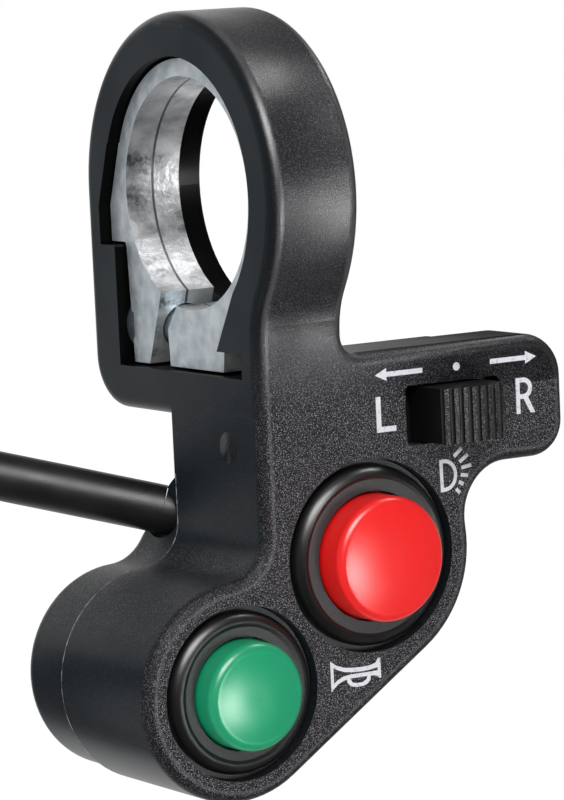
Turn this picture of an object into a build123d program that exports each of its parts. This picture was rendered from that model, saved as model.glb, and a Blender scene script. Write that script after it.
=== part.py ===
from build123d import *
import math
import os

# Handlebar switch cluster for a 22 mm bar. Millimetres, X along the bar, -Y to the rider, +Z up.
# The origin is the middle of the clamp bore. All sizes are real sizes.

# Handlebar clamp and the ring of the housing round it
bar_bore_radius = 11.15
clamp_width = 6.0
clamp_recess = 1.2
clamp_outer_radius = 12.85
clamp_clearance = 0.25
ring_width = 9.8
ring_outer_radius = 17.3
lip_bore_radius = 11.5
ring_blend_radius = 8.0
box_bottom_z = -21.3
box_corner_radius = 5.0
heel_back_y = 14.6
heel_top_y = 12.4
heel_top_z = 4.6
heel_turn_z = -1.5
heel_bottom_z = -5.3
leg_back_y = 11.9
pocket_bottom_z = -17.0
nose_top_y = -9.9
nose_top_z = -8.4
nose_bottom_y = -6.2
nose_bottom_z = -14.6
notch_front_y = -10.55

# Clamp gap, leg and foot block
leg_tip_y = 5.5
leg_tip_z = -9.7
leg_foot_y = 8.2
leg_foot_inset = 0.6
block_top_y = 2.7
block_top_z = -10.9
block_belly_y = 4.5
block_belly_z = -13.2
block_foot_y = 4.3
block_toe_y = -5.4

# Clamp screw
screw_radius = 1.95
screw_bar_gap = 0.05
screw_hole_clearance = 0.2
screw_head_radius = 3.0
screw_head_height = 3.2
screw_seat_depth = 1.0
screw_tip_y = -2.6
hex_socket_flats = 2.5
hex_socket_depth = 1.8
head_well_clearance = 0.25

# Housing body
face_y = -13.4
rear_plane_y = 2.6
wing_back_y = -6.4
housing_wall = 1.8
face_wall = 2.0
edge_round = 1.3
neck_top_z = -13.55
neck_low_z = -45.0
cavity_top_z = -28.9
column_radius = 2.1
pilot_radius = 0.85
pilot_depth = 5.0
lead_notch_x = 12.2
lead_notch_width = 2.4
lead_notch_depth = 2.2

# Round bosses of the two push buttons
lamp_x = 7.5
lamp_z = -34.67
lamp_boss_radius = 11.6
lamp_hole_radius = 9.24
horn_x = -7.5
horn_z = -45.82
horn_boss_radius = 10.4
horn_hole_radius = 8.28
neck_horn_blend = 4.0

# Wing of the slide switch
wing_end_room = 1.85
wing_top_z = -15.4
wing_low_z = -27.4
wing_top_round = 4.2
wing_low_round = 3.5
wing_neck_blend = 1.8
wing_lamp_blend = 5.0

# Rear cover
cover_back_y = 10.5
cover_wall = 1.6
cover_inset = 0.5
cover_left_inset = 0.6
cover_top_z = -26.8
cover_notch_x = 1.3
cover_corner = 0.9
outlet_low_z = -35.4
outlet_bulge = 0.85
cover_round = 1.5
cover_tab_radius = 3.3
sleeve_radius = 2.5
tongue_inset = 1.2
lip_height = 1.4
lip_wall = 0.9
lip_clearance = 0.2
lip_cable_z = -35.6

# Cover screws
cover_screw_places = [(4.6, -24.9), (5.3, -45.45), (-2.2, -38.6)]
cover_screw_hole_radius = 1.25
cover_screw_head_radius = 1.9
cover_screw_head_height = 1.3
cover_screw_length = 9.6
head_sink = 1.5
cross_width = 0.55
cross_length = 2.2
cross_depth = 0.7

# Push buttons
fit_clearance = 0.08
bezel_clearance = 0.1
bezel_groove = 0.5
groove_depth = 1.25
cone_sink = 0.65
cone_rise = 0.14
rim_width = 0.35
rim_dish = 0.12
lamp_rim_radius = 7.7
lamp_rim_proud = 0.5
horn_rim_radius = 6.62
horn_rim_proud = 0.22
shoulder_grip = 0.2
shoulder_depth = 1.2
barrel_wall = 0.6
barrel_depth = 11.2
step_depth = 1.85
cap_clearance = 0.25
flange_grip = 0.5
flange_clearance = 0.12
flange_thickness = 0.9
push_travel = 2.0
stop_gap = 0.15
cap_crown = 0.35
cap_round = 0.9
stem_radius = 1.7
stem_depth = 8.65
lamp_cap_radius = 5.97
lamp_cap_proud = 4.05
horn_cap_radius = 5.12
horn_cap_proud = 3.2
disc_radius = 2.15
disc_thickness = 0.3
rivet_radius = 0.7
rivet_height = 0.12
rivet_spread = 1.2
base_thickness = 1.2
blade_width = 0.8
blade_thickness = 0.4
blade_length = 1.6
spring_wire = 0.5
spring_turns = 5
spring_clearance = 0.45
spring_end_gap = 0.08
latch_wire = 0.6
latch_reach = 5.4
latch_hook = 0.9
latch_bend = 0.5
latch_offset = 4.0

# Slide switch
slot_z = -21.85
slot_width = 10.9
slot_height = 5.7
slot_round = 0.5
slide_travel = 1.75
knob_width = 7.3
knob_height = 5.25
knob_proud = 4.3
knob_top_radius = 9.5
rib_count = 8
rib_pitch = 0.93
rib_groove = 0.27
shutter_length = 14.4
shutter_height = 6.4
shutter_thickness = 0.9
shutter_gap = 0.1
shutter_round = 1.2
carriage_length = 8.6
carriage_height = 5.4
carriage_depth = 1.8
strip_length = 3.2
strip_width = 0.9
strip_thickness = 0.25
strip_offset = 1.3
contact_gap = 0.08
contact_size = 0.8
contact_height = 0.15
contact_pitch = 2.2
slide_base_length = 18.4
slide_base_room = 0.55
slide_base_height = 7.2
slide_base_thickness = 1.2
frame_sheet = 0.4
frame_rail = 1.0
ball_radius = 0.7
ball_gap = 0.15
dimple_depth = 0.2
detent_depth = 3.4
detent_wire = 0.22
detent_turns = 7

# Cable and what holds it
cable_diameter = 4.8
cable_anchor = (-3.8, 7.0, -30.7)
cable_heading = Vector(-0.8044, 0.5229, 0.2815).normalized()
cable_reach = -0.65
stub_length = 8.15
grommet_wall = 0.35
grommet_recess = 0.15
grommet_flange_radius = 3.7
grommet_flange_length = 0.8
grommet_fit = 0.02
hole_fit = 0.05
band_start = -8.3
band_width = 1.5
band_wall = 0.6
lead_diameter = 1.0
lead_ring = 1.45
lead_bend = 3.0
lead_end_run = 1.6

# Slots round the cable's end and way points of the inner leads: both lamp leads,
# both horn leads, the slide switch's feed
lead_slots = [3, 2, 0, 4, 1]
lead_ways = [
    [(6.3, 2.4, -34.67)],
    [(8.7, 3.4, -34.67)],
    [(-6.3, 2.6, -45.82), (0.6, 0.9, -44.0), (2.6, 0.5, -38.5)],
    [(-8.7, 5.2, -45.82), (2.4, 4.4, -44.6), (4.6, 3.0, -40.0)],
    [(15.35, 1.2, -20.55), (12.2, 1.2, -21.7), (12.2, 1.4, -27.6)],
]

# Free cable: its points, the coil's radii and its tail, in millimetres
cable_first_run = 16.35
cable_turn = (-32.0, 22.0, -29.0)
coil_start = (-47.0, 22.0, -29.0)
coil_outer_radius = 28.6
coil_pitch = 5.3
coil_half_turns = 4
coil_end_radius = 14.4
tail_steps = [(0, 0, -12.0), (0, 8.5, -22.0), (0, 8.5, -34.0)]
tie_wall = 0.9
tie_width = 2.6
tie_fit = 0.1
tie_head = 3.4

# Connector on the cable's end
plug_width = 11.0
plug_thickness = 6.0
plug_length = 15.0
plug_round = 0.8
plug_ways = 3
plug_rows = 2
plug_pitch = 3.2
plug_row_pitch = 2.5
plug_cell = 1.9
plug_cell_depth = 9.0
latch_arm_width = 3.4
latch_arm_thickness = 1.0
latch_arm_length = 8.0
pin_width = 1.1
pin_length = 6.0
pin_floor = 0.3

# One overrun for every cut that passes through a face
overrun = 1.0

near_x = -clamp_width / 2 - clamp_recess
far_x = near_x + ring_width
screw_axis_z = -(bar_bore_radius + screw_bar_gap + screw_radius)
slot_x = far_x + housing_wall + slide_base_room + frame_sheet + slide_base_length / 2
wing_right_x = slot_x + slide_base_length / 2 + frame_sheet + wing_end_room + housing_wall
cavity_front_y = face_y + face_wall
slide_floor_y = cavity_front_y + shutter_gap + shutter_thickness
slide_base_y = slide_floor_y + carriage_depth + strip_thickness + contact_gap + contact_height


def plate(sketch, front, back):
    """Extrude an outline drawn in X and Z from its front plane to its back plane."""
    return Pos(0, back, 0) * extrude(Plane.XZ * sketch, amount=back - front)


def cross_plate(sketch, left, right):
    """Extrude an outline drawn in Y and Z along the bar."""
    return Pos(left, 0, 0) * extrude(Plane.YZ * sketch, amount=right - left)


def rod(radius, front, back, x, z):
    return plate(Pos(x, z) * Circle(radius), front, back)


def rounded_box(left, right, low, high, radius):
    box = Pos((left + right) / 2, (low + high) / 2) * RectangleRounded(right - left, high - low, radius)
    return box


def area(left, right, low, high):
    return Pos((left + right) / 2, (low + high) / 2) * Rectangle(right - left, high - low)


def corner(sketch, x, z):
    """The vertex of an outline nearest to a place."""
    return sketch.vertices().sort_by_distance((x, z, 0))[0]


def bend_radii(points):
    """Radius for each corner of a route: 0.45 of the shorter run over the tangent of half the turn."""
    route = [Vector(*point) for point in points]
    bend_share = 0.45
    radii = []
    for before, here, after in zip(route, route[1:], route[2:]):
        turn = (here - before).get_angle(after - here)
        shorter = min((here - before).length, (after - here).length)
        radii.append(bend_share * shorter / math.tan(math.radians(turn / 2)))
    return radii


def tube(points, diameter, most=None):
    """A round tube along straight runs joined by tangent arcs."""
    radii = [min(radius, most) if most else radius for radius in bend_radii(points)]
    path = FilletPolyline(*points, radius=radii)
    heading = Vector(*points[1]) - Vector(*points[0])
    section = Plane(origin=points[0], z_dir=heading) * Circle(diameter / 2)
    return sweep(section, path=path), path, radii


def coil_spring(mean_radius, wire, turns, front, back, x, z):
    """A compression spring about an axis along Y."""
    height = back - front - wire
    helix = Helix(pitch=height / turns, height=height, radius=mean_radius)
    section = Plane(origin=helix @ 0, z_dir=helix % 0) * Circle(wire / 2)
    spring = sweep(section, path=helix, is_frenet=True)
    return Pos(x, front + wire / 2, z) * Rot(X=-90) * spring


def outer_tangent(x_a, z_a, r_a, x_b, z_b, r_b):
    """Touching points of the lower right tangent of two circles."""
    span = math.hypot(x_b - x_a, z_b - z_a)
    heading = math.atan2(z_b - z_a, x_b - x_a)
    lean = math.asin((r_b - r_a) / span)
    angle = heading - math.pi / 2 - lean
    return [(x + r * math.cos(angle), z + r * math.sin(angle)) for x, z, r in ((x_a, z_a, r_a), (x_b, z_b, r_b))]


def boss_outline(inset, left_inset, top_z):
    """Neck, two round bosses and the straight skirt between them, drawn in X and Z."""
    lamp_r = lamp_boss_radius - inset
    horn_r = horn_boss_radius - inset
    left = near_x + left_inset
    horn_side, lamp_side = outer_tangent(horn_x, horn_z, horn_r, lamp_x, lamp_z, lamp_r)
    skirt = make_face(Polyline((horn_x, horn_z), horn_side, lamp_side, (lamp_x, lamp_z), close=True))
    neck = area(left, far_x - inset, neck_low_z, top_z)
    right_of_wall = area(left, wing_right_x, lamp_z - lamp_boss_radius, neck_top_z)
    lamp_disc = Pos(lamp_x, lamp_z) * Circle(lamp_r) & right_of_wall
    outline = neck + lamp_disc + Pos(horn_x, horn_z) * Circle(horn_r) + skirt
    if top_z < neck_top_z:
        outline -= area(left, cover_notch_x + inset, top_z, neck_top_z)
    meet_z = horn_z + math.sqrt(horn_r**2 - (left - horn_x) ** 2)
    return fillet(corner(outline, left, meet_z), neck_horn_blend + min(inset, cover_inset))


def wing_outline(inset):
    """The wing alone, round at its two right corners."""
    wing = area(far_x - housing_wall, wing_right_x - inset, wing_low_z + inset, wing_top_z - inset)
    wing = fillet(corner(wing, wing_right_x - inset, wing_top_z - inset), wing_top_round - inset)
    return fillet(corner(wing, wing_right_x - inset, wing_low_z + inset), wing_low_round - inset)


def face_outline():
    """The whole front outline below the ring."""
    outline = boss_outline(0, 0, neck_top_z) + wing_outline(0)
    outline = fillet(corner(outline, far_x, wing_top_z), wing_neck_blend)
    meet_x = lamp_x + math.sqrt(lamp_boss_radius**2 - (wing_low_z - lamp_z) ** 2)
    return fillet(corner(outline, meet_x, wing_low_z), wing_lamp_blend)


def ring_profile():
    """Side outline of ring, box and front face, drawn in Y and Z."""
    profile = Circle(ring_outer_radius) + area(face_y, ring_outer_radius, box_bottom_z, 0)
    meet_z = -math.sqrt(ring_outer_radius**2 - face_y**2)
    profile = fillet(corner(profile, face_y, meet_z), ring_blend_radius)
    profile = fillet(corner(profile, ring_outer_radius, box_bottom_z), box_corner_radius)
    return fillet(corner(profile, face_y, box_bottom_z), wing_neck_blend)


def clamp_pocket():
    """Side outline of the space that the clamp ring lies in."""
    bore = Circle(clamp_outer_radius + clamp_clearance)
    heel = make_face(
        Polyline(
            (0, heel_top_z),
            (heel_top_y, heel_top_z),
            (heel_back_y, heel_turn_z),
            (heel_back_y, heel_bottom_z),
            (leg_back_y, heel_bottom_z),
            (leg_back_y, pocket_bottom_z),
            (notch_front_y, pocket_bottom_z),
            (notch_front_y, nose_bottom_z),
            (nose_bottom_y, nose_bottom_z),
            (nose_top_y, nose_top_z),
            close=True,
        )
    )
    return bore + heel


def lead_notch():
    """Opening in the wall between the wing and the lamp boss for the slide switch's lead."""
    half = lead_notch_width / 2
    notch = area(lead_notch_x - half, lead_notch_x + half, lamp_z + lamp_cap_radius, slot_z)
    return plate(notch, rear_plane_y - lead_notch_depth, rear_plane_y + fit_clearance)


def screw_columns():
    """Columns for the cover screws."""
    columns = None
    for x, z in cover_screw_places:
        column = rod(column_radius, cavity_front_y - overrun, rear_plane_y, x, z)
        columns = column if columns is None else columns + column
    return columns & plate(boss_outline(0, 0, neck_top_z), cavity_front_y - overrun, rear_plane_y)


def front_housing():
    front = face_outline()
    rear = boss_outline(0, 0, neck_top_z)
    body = plate(front, face_y, wing_back_y) + plate(rear, wing_back_y, rear_plane_y)
    rim = [edge for edge in body.edges().group_by(Axis.Y)[0] if edge.center().Z < neck_top_z - fit_clearance]
    body = fillet(rim, edge_round)
    ring = cross_plate(ring_profile(), near_x, far_x)
    ring_rims = ring.edges().group_by(Axis.X)[0] + ring.edges().group_by(Axis.X)[-1]
    ring = fillet(ring_rims, edge_round)
    housing = body + ring

    wing_left = far_x + housing_wall
    beside_ring = area(wing_left, wing_right_x, wing_low_z, wing_top_z)
    deep_hollow = boss_outline(housing_wall, housing_wall, cavity_top_z)
    wing_hollow = wing_outline(housing_wall) & beside_ring
    housing -= plate(deep_hollow + wing_hollow, cavity_front_y, wing_back_y)
    housing -= plate(deep_hollow, wing_back_y - overrun, rear_plane_y + overrun)
    housing -= plate(wing_hollow - boss_outline(0, 0, neck_top_z), wing_back_y - overrun, wing_back_y + overrun)

    housing += screw_columns()
    for x, z in cover_screw_places:
        housing -= rod(pilot_radius, rear_plane_y - pilot_depth, rear_plane_y + overrun, x, z)
    for x, z, radius in ((lamp_x, lamp_z, lamp_hole_radius), (horn_x, horn_z, horn_hole_radius)):
        housing -= rod(radius, face_y - overrun, cavity_front_y + overrun, x, z)
        shoulder = radius + shoulder_grip + bezel_clearance
        housing -= rod(shoulder, cavity_front_y, cavity_front_y + shoulder_depth + bezel_clearance, x, z)
    slot = Pos(slot_x, slot_z) * RectangleRounded(slot_width, slot_height, slot_round)
    housing -= plate(slot, face_y - overrun, cavity_front_y + overrun)
    housing -= lead_notch()

    housing -= cross_plate(clamp_pocket(), near_x - overrun, clamp_width / 2)
    housing -= cross_plate(Circle(lip_bore_radius), near_x, far_x + overrun)
    well = screw_head_radius + head_well_clearance
    housing -= rod(well, leg_back_y - overrun, ring_outer_radius + overrun, 0, screw_axis_z)
    return housing


def clamp_ring():
    slack = clamp_clearance
    ring = Circle(clamp_outer_radius)
    leg = make_face(
        Polyline(
            (0, heel_top_z),
            (heel_top_y - slack, heel_top_z),
            (heel_back_y - slack, heel_turn_z),
            (heel_back_y - slack, heel_bottom_z + slack),
            (leg_back_y - slack, heel_bottom_z + slack),
            (leg_back_y - slack - leg_foot_inset, pocket_bottom_z + slack),
            (leg_foot_y, pocket_bottom_z + slack),
            (leg_tip_y, leg_tip_z),
            close=True,
        )
    )
    block = make_face(
        Polyline(
            (nose_top_y + slack, nose_top_z),
            (nose_bottom_y + slack, nose_bottom_z),
            (block_toe_y - slack, nose_bottom_z - slack),
            (block_toe_y, pocket_bottom_z + slack),
            (block_foot_y, pocket_bottom_z + slack),
            (block_belly_y, block_belly_z),
            (block_top_y, block_top_z),
            (0, 0),
            close=True,
        )
    )
    gap = make_face(
        Polyline(
            (0, 0),
            (leg_tip_y, leg_tip_z),
            (leg_foot_y, pocket_bottom_z),
            (block_foot_y, pocket_bottom_z),
            (block_belly_y, block_belly_z),
            (block_top_y, block_top_z),
            close=True,
        )
    )
    profile = ring + leg + block - gap - Circle(bar_bore_radius)
    clamp = cross_plate(profile, -clamp_width / 2, clamp_width / 2)
    spot = screw_head_radius + head_well_clearance
    clamp -= rod(spot, screw_seat_y(), leg_back_y, 0, screw_axis_z)
    passage = screw_radius + screw_hole_clearance
    clamp -= rod(passage, block_belly_y, leg_back_y, 0, screw_axis_z)
    clamp -= rod(screw_radius + fit_clearance, screw_tip_y - overrun, block_belly_y, 0, screw_axis_z)
    return clamp


def screw_seat_y():
    return leg_back_y - screw_seat_depth


def clamp_screw():
    """Cap screw with a hex socket, its head in the leg's spot face."""
    head_y = screw_seat_y()
    screw = rod(screw_radius, screw_tip_y, head_y, 0, screw_axis_z)
    head = rod(screw_head_radius, head_y, head_y + screw_head_height, 0, screw_axis_z)
    head = fillet(head.edges().group_by(Axis.Y)[-1], rim_width)
    socket = Pos(0, screw_axis_z) * RegularPolygon(hex_socket_flats / 2, 6, major_radius=False)
    socket_floor = head_y + screw_head_height - hex_socket_depth
    return screw + head - plate(socket, socket_floor, head_y + screw_head_height + overrun)


def cover_outline(inset):
    """Outline of the rear cover's pan, so far inside its own edge."""
    left = cover_left_inset + inset
    outline = boss_outline(cover_inset + inset, left, cover_top_z - inset)
    return fillet(corner(outline, near_x + left, cover_top_z - inset), cover_corner)


def outlet_corner(inset):
    """What the slanted corner over the cable leaves free, so far inside the cover's surface."""
    lean = math.atan2(cover_back_y - rear_plane_y, cover_top_z - outlet_low_z)
    out_y = math.cos(lean)
    out_z = math.sin(lean)
    top = (rear_plane_y - inset * out_y, cover_top_z - inset * out_z)
    low = (cover_back_y - inset * out_y, outlet_low_z - inset * out_z)
    middle = ((top[0] + low[0]) / 2 + outlet_bulge * out_y, (top[1] + low[1]) / 2 + outlet_bulge * out_z)
    behind = cover_back_y + overrun
    above = cover_top_z + overrun
    rest = Polyline(low, (behind, low[1]), (behind, above), (top[0], above), top)
    corner_face = make_face(ThreePointArc(top, middle, low) + rest)
    return cross_plate(corner_face, near_x - overrun, cover_notch_x + inset)


def tongue_outline(inset):
    """Outline of the cover's tongue behind the wing, clear of the housing's deep wall."""
    gap = lip_clearance + inset
    return wing_outline(tongue_inset + inset) - boss_outline(-gap, -gap, neck_top_z)


def rear_cover():
    tab_x, tab_z = cover_screw_places[0]
    pan = plate(cover_outline(0) + Pos(tab_x, tab_z) * Circle(cover_tab_radius), rear_plane_y, cover_back_y)
    pan = fillet(pan.edges().group_by(Axis.Y)[-1], cover_round) - outlet_corner(0)
    beside_neck = area(far_x + lip_clearance, wing_right_x, wing_low_z, wing_top_z)
    lid = plate(wing_outline(tongue_inset) & beside_neck, rear_plane_y, rear_plane_y + cover_wall)
    cover = pan + lid + plate(tongue_outline(0), wing_back_y, rear_plane_y)
    hollow = plate(cover_outline(cover_wall), rear_plane_y - overrun, cover_back_y - cover_wall)
    cover -= hollow - outlet_corner(cover_wall)
    cover -= plate(tongue_outline(cover_wall), wing_back_y - overrun, rear_plane_y)
    cover -= lead_notch()

    lip_inset = housing_wall + lip_clearance
    lip = boss_outline(lip_inset, lip_inset, cavity_top_z - lip_clearance)
    lip -= offset(lip, amount=-lip_wall)
    lip = plate(lip, rear_plane_y - lip_height, rear_plane_y + cover_wall)
    for x, z in cover_screw_places:
        lip -= rod(column_radius + lip_clearance, rear_plane_y - lip_height, rear_plane_y, x, z)
    beside_cable = area(near_x, far_x, lip_cable_z, neck_top_z)
    cover += lip - lead_notch() - plate(beside_cable, rear_plane_y - lip_height, cover_back_y)

    head_seat_y = cover_back_y - head_sink
    for x, z in cover_screw_places[1:]:
        cover += rod(sleeve_radius, rear_plane_y, head_seat_y, x, z)
    for x, z in cover_screw_places:
        cover -= rod(cover_screw_hole_radius, rear_plane_y - overrun, cover_back_y, x, z)
        cover -= rod(cover_screw_head_radius + head_well_clearance, head_seat_y, cover_back_y + overrun, x, z)
    hole_radius = cable_diameter / 2 + grommet_wall + hole_fit
    return cover - cable_cylinder(hole_radius, cable_reach - ring_width, 2 * ring_width)


def cover_screws():
    """Pan-head self-tapping screws with a cross recess."""
    screws = []
    seat = cover_back_y - head_sink
    for x, z in cover_screw_places:
        shank = rod(pilot_radius, seat - cover_screw_length, seat, x, z)
        head = rod(cover_screw_head_radius, seat, seat + cover_screw_head_height, x, z)
        head = fillet(head.edges().group_by(Axis.Y)[-1], rim_width)
        cross = Rectangle(cross_length, cross_width) + Rectangle(cross_width, cross_length)
        top = seat + cover_screw_head_height
        screws.append(shank + head - plate(Pos(x, z) * cross, top - cross_depth, top + overrun))
    return Compound(children=screws)


def button_bezel(x, z, hole_radius, cap_radius, rim, rim_proud):
    """Collar with a groove, a glossy convex cone, a thin rim, a dished ring and a barrel."""
    outer = hole_radius - bezel_clearance
    cone_foot = outer - bezel_groove
    bore = cap_radius + cap_clearance
    flange_bore = cap_radius + flange_grip + flange_clearance
    barrel = flange_bore + barrel_wall
    shoulder = hole_radius + shoulder_grip
    back = base_front_y()
    groove_y = face_y + groove_depth
    cone_low = (cone_foot, face_y + cone_sink)
    cone_top = (rim, face_y - rim_proud)
    middle = ((cone_foot + rim) / 2 + cone_rise, face_y + (cone_sink - rim_proud) / 2 - cone_rise)
    cone = ThreePointArc(cone_low, middle, cone_top)
    dish_y = face_y - rim_proud + rim_dish
    rest = Polyline(
        cone_top,
        (rim - rim_width, dish_y),
        (bore, dish_y),
        (bore, face_y + step_depth),
        (flange_bore, face_y + step_depth),
        (flange_bore, back),
        (barrel, back),
        (barrel, cavity_front_y + shoulder_depth),
        (shoulder, cavity_front_y + shoulder_depth),
        (shoulder, cavity_front_y),
        (outer, cavity_front_y),
        (outer, groove_y),
        (cone_foot, groove_y),
        cone_low,
    )
    return Pos(x, 0, z) * revolve(make_face(cone + rest), axis=Axis.Y)


def button_cap(x, z, cap_radius, proud):
    """Cap with a crowned top, a round shoulder, a retaining flange and a stem."""
    top = face_y - proud
    shoulder_y = top + cap_crown
    flange_y = face_y + step_depth + stop_gap
    crown = ThreePointArc((0, top), (cap_radius / 2, top + cap_crown / 4), (cap_radius - cap_round, shoulder_y))
    curve_share = math.cos(math.pi / 4)
    elbow = (cap_radius - cap_round * (1 - curve_share), shoulder_y + cap_round * (1 - curve_share))
    shoulder = ThreePointArc((cap_radius - cap_round, shoulder_y), elbow, (cap_radius, shoulder_y + cap_round))
    rest = Polyline(
        (cap_radius, shoulder_y + cap_round),
        (cap_radius, flange_y),
        (cap_radius + flange_grip, flange_y),
        (cap_radius + flange_grip, flange_y + flange_thickness),
        (stem_radius, flange_y + flange_thickness),
        (stem_radius, face_y + stem_depth),
        (0, face_y + stem_depth),
        (0, top),
    )
    return Pos(x, 0, z) * revolve(make_face(crown + shoulder + rest), axis=Axis.Y)


def flange_back_y():
    return face_y + step_depth + stop_gap + flange_thickness


def base_front_y():
    return face_y + barrel_depth


def button_spring(x, z):
    mean_radius = stem_radius + spring_clearance + spring_wire / 2
    front = flange_back_y() + spring_end_gap
    return coil_spring(mean_radius, spring_wire, spring_turns, front, base_front_y() - spring_end_gap, x, z)


def contact_disc(x, z):
    stem_end = face_y + stem_depth
    return rod(disc_radius, stem_end, stem_end + disc_thickness, x, z)


def barrel_radius(cap_radius):
    return cap_radius + flange_grip + flange_clearance + barrel_wall


def button_base(x, z, cap_radius):
    """Insulating plate that closes the barrel and holds the two terminals."""
    base = rod(barrel_radius(cap_radius), base_front_y(), base_front_y() + base_thickness, x, z)
    for side in (-1, 1):
        hole = Pos(x + side * rivet_spread, z) * Rectangle(blade_thickness, blade_width)
        base -= plate(hole, base_front_y() - overrun, base_front_y() + base_thickness + overrun)
    return base


def button_terminals(x, z):
    """Two blades, each with a flat rivet head under the contact disc."""
    blades = []
    front = base_front_y()
    for side in (-1, 1):
        place = x + side * rivet_spread
        blade = Pos(place, z) * Rectangle(blade_thickness, blade_width)
        blades.append(
            rod(rivet_radius, front - rivet_height, front, place, z)
            + plate(blade, front, front + base_thickness + blade_length)
        )
    return Compound(children=blades)


def lamp_latch_pin():
    """Bent wire beside the stem that holds the lamp button in when it is pushed."""
    z = lamp_z + latch_offset
    back = base_front_y()
    front = back - latch_reach
    line = FilletPolyline((lamp_x, back, z), (lamp_x, front, z), (lamp_x, front, z - latch_hook), radius=latch_bend)
    return sweep(Plane(origin=(lamp_x, back, z), z_dir=(0, -1, 0)) * Circle(latch_wire / 2), path=line)


def detent_floor_y():
    """Bottom of the blind hole that the detent spring sits in."""
    return slide_floor_y - detent_depth


def turn_slider():
    """Ribbed thumb piece with its shutter plate behind the slot."""
    left = slot_x - knob_width / 2
    right = slot_x + knob_width / 2
    top = face_y - knob_proud
    side_drop = knob_top_radius - math.sqrt(knob_top_radius**2 - (knob_width / 2) ** 2)
    shutter_front = cavity_front_y + shutter_gap
    crown = ThreePointArc((left, top + side_drop), (slot_x, top), (right, top + side_drop))
    sides = Polyline((right, top + side_drop), (right, shutter_front), (left, shutter_front), (left, top + side_drop))
    profile = make_face(crown + sides)
    for index in range(rib_count + 1):
        reach = (index - rib_count / 2) * rib_pitch
        drop = knob_top_radius - math.sqrt(knob_top_radius**2 - reach**2)
        profile -= Pos(slot_x + reach, top + drop) * Circle(rib_groove)
    knob = Pos(0, 0, slot_z - knob_height / 2) * extrude(profile, amount=knob_height)
    shutter = Pos(slot_x, slot_z) * RectangleRounded(shutter_length, shutter_height, shutter_round)
    slider = knob + plate(shutter, shutter_front, shutter_front + shutter_thickness)
    return slider - rod(ball_radius + fit_clearance, detent_floor_y(), slide_floor_y + overrun, slot_x, slot_z)


def detent_mouth():
    """Where the detent's hole opens, on the carriage's rear face."""
    return slide_floor_y + carriage_depth


def turn_carriage():
    """Slide block on the back of the shutter, with the detent's hole through it."""
    block = Pos(slot_x, slot_z) * Rectangle(carriage_length, carriage_height)
    body = plate(block, slide_floor_y, detent_mouth())
    return body - rod(ball_radius + fit_clearance, slide_floor_y - overrun, detent_mouth() + overrun, slot_x, slot_z)


def turn_contacts():
    """Two moving strips on the carriage's rear face."""
    strips = []
    for side in (-1, 1):
        strip = Pos(slot_x, slot_z + side * strip_offset) * Rectangle(strip_length, strip_width)
        strips.append(plate(strip, detent_mouth(), detent_mouth() + strip_thickness))
    return Compound(children=strips)


def ball_place_y():
    return slide_base_y - ball_gap - ball_radius


def detent_ball():
    return Pos(slot_x, ball_place_y(), slot_z) * Sphere(ball_radius)


def detent_spring():
    mean_radius = ball_radius - detent_wire
    back = ball_place_y() - ball_radius
    return coil_spring(mean_radius, detent_wire, detent_turns, detent_floor_y(), back, slot_x, slot_z)


def contact_places():
    """Three fixed contacts on each of the two strip lines."""
    return [(slot_x + step * contact_pitch, side * strip_offset) for side in (-1, 1) for step in (-1, 0, 1)]


def turn_switch_base():
    """Insulating board with three dimples for the detent and holes for the terminals."""
    board = Pos(slot_x, slot_z) * Rectangle(slide_base_length, slide_base_height)
    base = plate(board, slide_base_y, slide_base_y + slide_base_thickness)
    for step in (-1, 0, 1):
        x = slot_x + step * slide_travel
        base -= rod(ball_radius / 2, slide_base_y - overrun, slide_base_y + dimple_depth, x, slot_z)
    for x, lift in contact_places():
        hole = Pos(x, slot_z + lift) * Rectangle(blade_thickness, blade_width)
        base -= plate(hole, slide_base_y - overrun, slide_base_y + slide_base_thickness + overrun)
    return base


def turn_terminals():
    """Six blades, each with a flat contact under the strips."""
    pins = []
    contact_front_y = slide_base_y - contact_height
    back = slide_base_y + slide_base_thickness + blade_length
    for x, lift in contact_places():
        blade = Pos(x, slot_z + lift) * Rectangle(blade_thickness, blade_width)
        head = plate(Pos(x, slot_z + lift) * Rectangle(contact_size, contact_size), contact_front_y, slide_base_y)
        pins.append(head + plate(blade, slide_base_y, back))
    return Compound(children=pins)


def turn_switch_frame():
    """Sheet-metal frame that holds the board against the back of the face."""
    half = slide_base_length / 2
    seat_y = slide_base_y + slide_base_thickness
    window = Rectangle(slide_base_length - 2 * frame_rail, slide_base_height - 2 * frame_rail)
    sheet = Rectangle(2 * (half + frame_sheet), slide_base_height) - window
    frame = plate(Pos(slot_x, slot_z) * sheet, seat_y, seat_y + frame_sheet)
    for side in (-1, 1):
        leg = Pos(slot_x + side * (half + frame_sheet / 2), slot_z) * Rectangle(frame_sheet, knob_height)
        frame += plate(leg, cavity_front_y, seat_y + frame_sheet)
    return frame


def cable_plane(reach):
    """Plane square to the cable's axis, so far along it from the anchor."""
    origin = Vector(*cable_anchor) + cable_heading * reach
    return Plane(origin=origin, z_dir=cable_heading)


def cable_cylinder(radius, start, length):
    return cable_plane(start) * Pos(0, 0, length / 2) * Cylinder(radius, length)


def cable_at(x):
    """Place on the cable's axis at this X."""
    share = (x - cable_anchor[0]) / cable_heading.X
    return Vector(*cable_anchor) + cable_heading * share


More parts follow.
